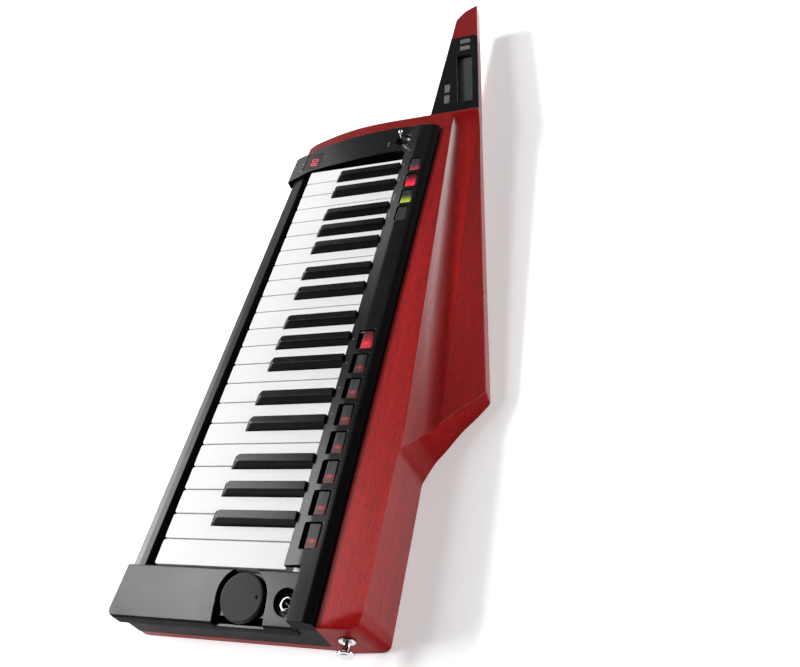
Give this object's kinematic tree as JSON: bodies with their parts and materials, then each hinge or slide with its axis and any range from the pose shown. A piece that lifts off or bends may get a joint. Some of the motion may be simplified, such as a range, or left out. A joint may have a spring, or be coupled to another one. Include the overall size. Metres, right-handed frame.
{
  "type": "keytar",
  "caption": "Shoulder keyboard with slim keys, a ribbon rail, a black control strip with lit buttons, a sloping dial panel, a carved red wooden wing and a short neck with ribbon and buttons",
  "frame": {"origin": "under the middle of the whole instrument, in the plane of its flat back", "axes": "+Y runs along the keyboard from the tail to the neck, +X from the key fronts to the wing, +Z out of the key tops"},
  "size_m": [0.256, 0.8274, 0.0642],
  "materials": {
    "red_wood": "satin see-through red lacquer over open-pored wood",
    "black_panel": "fine textured black plastic",
    "black_shell": "plain black plastic, slightly glossy underneath",
    "white_key": "glossy white plastic",
    "black_key": "semi-gloss black plastic",
    "button": "smoked translucent plastic over red and green lamps",
    "ribbon": "satin dark grey touch surface",
    "dial": "satin dark grey plastic",
    "display": "smoked red display window",
    "chrome": "polished",
    "steel": "drawn steel rod",
    "board": "green solder mask over glass-fibre board"
  },
  "bodies": {
    "body": {"wood_body": "red_wood", "lower_chassis": "black_shell", "control_panel": "black_panel", "end_panel": "black_panel", "long_ribbon": "ribbon", "neck_panel": "black_panel", "neck_ribbon": "ribbon", "display_window": "display", "key_axle": "steel", "battery_cover": "black_shell", "main_board": "board", "mic_jack": "chrome", "strap_pin_tail": "chrome", "strap_pin_neck": "chrome"},
    "dial": {"value_dial": "dial"},
    "lever": {"toggle_lever": "chrome"},
    "function_1": {"function_button_1": "button"},
    "function_2": {"function_button_2": "button"},
    "function_3": {"function_button_3": "button"},
    "function_4": {"function_button_4": "button"},
    "favourites": {"favourite_buttons": "button"},
    "octave_pair": {"octave_buttons": "button"},
    "mode_pair": {"mode_buttons": "button"},
    "note_c_6": {"key_c_6": "white_key"},
    "note_b_5": {"key_b_5": "white_key"},
    "note_a_sharp_5": {"key_a_sharp_5": "black_key"},
    "note_a_5": {"key_a_5": "white_key"},
    "note_g_sharp_5": {"key_g_sharp_5": "black_key"},
    "note_g_5": {"key_g_5": "white_key"},
    "note_f_sharp_5": {"key_f_sharp_5": "black_key"},
    "note_f_5": {"key_f_5": "white_key"},
    "note_e_5": {"key_e_5": "white_key"},
    "note_d_sharp_5": {"key_d_sharp_5": "black_key"},
    "note_d_5": {"key_d_5": "white_key"},
    "note_c_sharp_5": {"key_c_sharp_5": "black_key"},
    "note_c_5": {"key_c_5": "white_key"},
    "note_b_4": {"key_b_4": "white_key"},
    "note_a_sharp_4": {"key_a_sharp_4": "black_key"},
    "note_a_4": {"key_a_4": "white_key"},
    "note_g_sharp_4": {"key_g_sharp_4": "black_key"},
    "note_g_4": {"key_g_4": "white_key"},
    "note_f_sharp_4": {"key_f_sharp_4": "black_key"},
    "note_f_4": {"key_f_4": "white_key"},
    "note_e_4": {"key_e_4": "white_key"},
    "note_d_sharp_4": {"key_d_sharp_4": "black_key"},
    "note_d_4": {"key_d_4": "white_key"},
    "note_c_sharp_4": {"key_c_sharp_4": "black_key"},
    "note_c_4": {"key_c_4": "white_key"},
    "note_b_3": {"key_b_3": "white_key"},
    "note_a_sharp_3": {"key_a_sharp_3": "black_key"},
    "note_a_3": {"key_a_3": "white_key"},
    "note_g_sharp_3": {"key_g_sharp_3": "black_key"},
    "note_g_3": {"key_g_3": "white_key"},
    "note_f_sharp_3": {"key_f_sharp_3": "black_key"},
    "note_f_3": {"key_f_3": "white_key"},
    "note_e_3": {"key_e_3": "white_key"},
    "note_d_sharp_3": {"key_d_sharp_3": "black_key"},
    "note_d_3": {"key_d_3": "white_key"},
    "note_c_sharp_3": {"key_c_sharp_3": "black_key"},
    "note_c_3": {"key_c_3": "white_key"}
  },
  "joints": [
    {"name": "dial_turn", "type": "hinge", "parent": "body", "child": "dial", "pos_m": [-0.0185, -0.38452, 0.04331], "axis": [0, -0.2419, 0.9703], "range_deg": [-150, 150]},
    {"name": "lever_tilt", "type": "hinge", "parent": "body", "child": "lever", "pos_m": [0.007, 0.12518, 0.0468], "axis": [0, 1, 0], "range_deg": [-14, 14], "stiffness_Nm_per_rad": 0.05},
    {"name": "function_1_press", "type": "slide", "parent": "body", "child": "function_1", "axis": [0, 0, -1], "range_m": [0, 0.001], "stiffness_N_per_m": 600},
    {"name": "function_2_press", "type": "slide", "parent": "body", "child": "function_2", "axis": [0, 0, -1], "range_m": [0, 0.001], "stiffness_N_per_m": 600},
    {"name": "function_3_press", "type": "slide", "parent": "body", "child": "function_3", "axis": [0, 0, -1], "range_m": [0, 0.001], "stiffness_N_per_m": 600},
    {"name": "function_4_press", "type": "slide", "parent": "body", "child": "function_4", "axis": [0, 0, -1], "range_m": [0, 0.001], "stiffness_N_per_m": 600},
    {"name": "favourites_press", "type": "slide", "parent": "body", "child": "favourites", "axis": [0, 0, -1], "range_m": [0, 0.001], "stiffness_N_per_m": 900},
    {"name": "octave_press", "type": "slide", "parent": "body", "child": "octave_pair", "axis": [0, 0, -1], "range_m": [0, 0.0008], "stiffness_N_per_m": 600},
    {"name": "mode_press", "type": "slide", "parent": "body", "child": "mode_pair", "axis": [0, 0, -1], "range_m": [0, 0.0008], "stiffness_N_per_m": 600},
    {"name": "key_c_6_press", "type": "hinge", "parent": "body", "child": "note_c_6", "pos_m": [0.03, -0.13412, 0.037], "axis": [0, -1, 0], "range_deg": [0, 3.6], "stiffness_Nm_per_rad": 0.35, "springref_deg": -9.74},
    {"name": "key_b_5_press", "type": "hinge", "parent": "body", "child": "note_b_5", "pos_m": [0.03, -0.13412, 0.037], "axis": [0, -1, 0], "range_deg": [0, 3.6], "stiffness_Nm_per_rad": 0.35, "springref_deg": -9.74},
    {"name": "key_a_sharp_5_press", "type": "hinge", "parent": "body", "child": "note_a_sharp_5", "pos_m": [0.03, -0.13412, 0.037], "axis": [0, -1, 0], "range_deg": [0, 3.6], "stiffness_Nm_per_rad": 0.35, "springref_deg": -9.74},
    {"name": "key_a_5_press", "type": "hinge", "parent": "body", "child": "note_a_5", "pos_m": [0.03, -0.13412, 0.037], "axis": [0, -1, 0], "range_deg": [0, 3.6], "stiffness_Nm_per_rad": 0.35, "springref_deg": -9.74},
    {"name": "key_g_sharp_5_press", "type": "hinge", "parent": "body", "child": "note_g_sharp_5", "pos_m": [0.03, -0.13412, 0.037], "axis": [0, -1, 0], "range_deg": [0, 3.6], "stiffness_Nm_per_rad": 0.35, "springref_deg": -9.74},
    {"name": "key_g_5_press", "type": "hinge", "parent": "body", "child": "note_g_5", "pos_m": [0.03, -0.13412, 0.037], "axis": [0, -1, 0], "range_deg": [0, 3.6], "stiffness_Nm_per_rad": 0.35, "springref_deg": -9.74},
    {"name": "key_f_sharp_5_press", "type": "hinge", "parent": "body", "child": "note_f_sharp_5", "pos_m": [0.03, -0.13412, 0.037], "axis": [0, -1, 0], "range_deg": [0, 3.6], "stiffness_Nm_per_rad": 0.35, "springref_deg": -9.74},
    {"name": "key_f_5_press", "type": "hinge", "parent": "body", "child": "note_f_5", "pos_m": [0.03, -0.13412, 0.037], "axis": [0, -1, 0], "range_deg": [0, 3.6], "stiffness_Nm_per_rad": 0.35, "springref_deg": -9.74},
    {"name": "key_e_5_press", "type": "hinge", "parent": "body", "child": "note_e_5", "pos_m": [0.03, -0.13412, 0.037], "axis": [0, -1, 0], "range_deg": [0, 3.6], "stiffness_Nm_per_rad": 0.35, "springref_deg": -9.74},
    {"name": "key_d_sharp_5_press", "type": "hinge", "parent": "body", "child": "note_d_sharp_5", "pos_m": [0.03, -0.13412, 0.037], "axis": [0, -1, 0], "range_deg": [0, 3.6], "stiffness_Nm_per_rad": 0.35, "springref_deg": -9.74},
    {"name": "key_d_5_press", "type": "hinge", "parent": "body", "child": "note_d_5", "pos_m": [0.03, -0.13412, 0.037], "axis": [0, -1, 0], "range_deg": [0, 3.6], "stiffness_Nm_per_rad": 0.35, "springref_deg": -9.74},
    {"name": "key_c_sharp_5_press", "type": "hinge", "parent": "body", "child": "note_c_sharp_5", "pos_m": [0.03, -0.13412, 0.037], "axis": [0, -1, 0], "range_deg": [0, 3.6], "stiffness_Nm_per_rad": 0.35, "springref_deg": -9.74},
    {"name": "key_c_5_press", "type": "hinge", "parent": "body", "child": "note_c_5", "pos_m": [0.03, -0.13412, 0.037], "axis": [0, -1, 0], "range_deg": [0, 3.6], "stiffness_Nm_per_rad": 0.35, "springref_deg": -9.74},
    {"name": "key_b_4_press", "type": "hinge", "parent": "body", "child": "note_b_4", "pos_m": [0.03, -0.13412, 0.037], "axis": [0, -1, 0], "range_deg": [0, 3.6], "stiffness_Nm_per_rad": 0.35, "springref_deg": -9.74},
    {"name": "key_a_sharp_4_press", "type": "hinge", "parent": "body", "child": "note_a_sharp_4", "pos_m": [0.03, -0.13412, 0.037], "axis": [0, -1, 0], "range_deg": [0, 3.6], "stiffness_Nm_per_rad": 0.35, "springref_deg": -9.74},
    {"name": "key_a_4_press", "type": "hinge", "parent": "body", "child": "note_a_4", "pos_m": [0.03, -0.13412, 0.037], "axis": [0, -1, 0], "range_deg": [0, 3.6], "stiffness_Nm_per_rad": 0.35, "springref_deg": -9.74},
    {"name": "key_g_sharp_4_press", "type": "hinge", "parent": "body", "child": "note_g_sharp_4", "pos_m": [0.03, -0.13412, 0.037], "axis": [0, -1, 0], "range_deg": [0, 3.6], "stiffness_Nm_per_rad": 0.35, "springref_deg": -9.74},
    {"name": "key_g_4_press", "type": "hinge", "parent": "body", "child": "note_g_4", "pos_m": [0.03, -0.13412, 0.037], "axis": [0, -1, 0], "range_deg": [0, 3.6], "stiffness_Nm_per_rad": 0.35, "springref_deg": -9.74},
    {"name": "key_f_sharp_4_press", "type": "hinge", "parent": "body", "child": "note_f_sharp_4", "pos_m": [0.03, -0.13412, 0.037], "axis": [0, -1, 0], "range_deg": [0, 3.6], "stiffness_Nm_per_rad": 0.35, "springref_deg": -9.74},
    {"name": "key_f_4_press", "type": "hinge", "parent": "body", "child": "note_f_4", "pos_m": [0.03, -0.13412, 0.037], "axis": [0, -1, 0], "range_deg": [0, 3.6], "stiffness_Nm_per_rad": 0.35, "springref_deg": -9.74},
    {"name": "key_e_4_press", "type": "hinge", "parent": "body", "child": "note_e_4", "pos_m": [0.03, -0.13412, 0.037], "axis": [0, -1, 0], "range_deg": [0, 3.6], "stiffness_Nm_per_rad": 0.35, "springref_deg": -9.74},
    {"name": "key_d_sharp_4_press", "type": "hinge", "parent": "body", "child": "note_d_sharp_4", "pos_m": [0.03, -0.13412, 0.037], "axis": [0, -1, 0], "range_deg": [0, 3.6], "stiffness_Nm_per_rad": 0.35, "springref_deg": -9.74},
    {"name": "key_d_4_press", "type": "hinge", "parent": "body", "child": "note_d_4", "pos_m": [0.03, -0.13412, 0.037], "axis": [0, -1, 0], "range_deg": [0, 3.6], "stiffness_Nm_per_rad": 0.35, "springref_deg": -9.74},
    {"name": "key_c_sharp_4_press", "type": "hinge", "parent": "body", "child": "note_c_sharp_4", "pos_m": [0.03, -0.13412, 0.037], "axis": [0, -1, 0], "range_deg": [0, 3.6], "stiffness_Nm_per_rad": 0.35, "springref_deg": -9.74},
    {"name": "key_c_4_press", "type": "hinge", "parent": "body", "child": "note_c_4", "pos_m": [0.03, -0.13412, 0.037], "axis": [0, -1, 0], "range_deg": [0, 3.6], "stiffness_Nm_per_rad": 0.35, "springref_deg": -9.74},
    {"name": "key_b_3_press", "type": "hinge", "parent": "body", "child": "note_b_3", "pos_m": [0.03, -0.13412, 0.037], "axis": [0, -1, 0], "range_deg": [0, 3.6], "stiffness_Nm_per_rad": 0.35, "springref_deg": -9.74},
    {"name": "key_a_sharp_3_press", "type": "hinge", "parent": "body", "child": "note_a_sharp_3", "pos_m": [0.03, -0.13412, 0.037], "axis": [0, -1, 0], "range_deg": [0, 3.6], "stiffness_Nm_per_rad": 0.35, "springref_deg": -9.74},
    {"name": "key_a_3_press", "type": "hinge", "parent": "body", "child": "note_a_3", "pos_m": [0.03, -0.13412, 0.037], "axis": [0, -1, 0], "range_deg": [0, 3.6], "stiffness_Nm_per_rad": 0.35, "springref_deg": -9.74},
    {"name": "key_g_sharp_3_press", "type": "hinge", "parent": "body", "child": "note_g_sharp_3", "pos_m": [0.03, -0.13412, 0.037], "axis": [0, -1, 0], "range_deg": [0, 3.6], "stiffness_Nm_per_rad": 0.35, "springref_deg": -9.74},
    {"name": "key_g_3_press", "type": "hinge", "parent": "body", "child": "note_g_3", "pos_m": [0.03, -0.13412, 0.037], "axis": [0, -1, 0], "range_deg": [0, 3.6], "stiffness_Nm_per_rad": 0.35, "springref_deg": -9.74},
    {"name": "key_f_sharp_3_press", "type": "hinge", "parent": "body", "child": "note_f_sharp_3", "pos_m": [0.03, -0.13412, 0.037], "axis": [0, -1, 0], "range_deg": [0, 3.6], "stiffness_Nm_per_rad": 0.35, "springref_deg": -9.74},
    {"name": "key_f_3_press", "type": "hinge", "parent": "body", "child": "note_f_3", "pos_m": [0.03, -0.13412, 0.037], "axis": [0, -1, 0], "range_deg": [0, 3.6], "stiffness_Nm_per_rad": 0.35, "springref_deg": -9.74},
    {"name": "key_e_3_press", "type": "hinge", "parent": "body", "child": "note_e_3", "pos_m": [0.03, -0.13412, 0.037], "axis": [0, -1, 0], "range_deg": [0, 3.6], "stiffness_Nm_per_rad": 0.35, "springref_deg": -9.74},
    {"name": "key_d_sharp_3_press", "type": "hinge", "parent": "body", "child": "note_d_sharp_3", "pos_m": [0.03, -0.13412, 0.037], "axis": [0, -1, 0], "range_deg": [0, 3.6], "stiffness_Nm_per_rad": 0.35, "springref_deg": -9.74},
    {"name": "key_d_3_press", "type": "hinge", "parent": "body", "child": "note_d_3", "pos_m": [0.03, -0.13412, 0.037], "axis": [0, -1, 0], "range_deg": [0, 3.6], "stiffness_Nm_per_rad": 0.35, "springref_deg": -9.74},
    {"name": "key_c_sharp_3_press", "type": "hinge", "parent": "body", "child": "note_c_sharp_3", "pos_m": [0.03, -0.13412, 0.037], "axis": [0, -1, 0], "range_deg": [0, 3.6], "stiffness_Nm_per_rad": 0.35, "springref_deg": -9.74},
    {"name": "key_c_3_press", "type": "hinge", "parent": "body", "child": "note_c_3", "pos_m": [0.03, -0.13412, 0.037], "axis": [0, -1, 0], "range_deg": [0, 3.6], "stiffness_Nm_per_rad": 0.35, "springref_deg": -9.74}
  ]
}
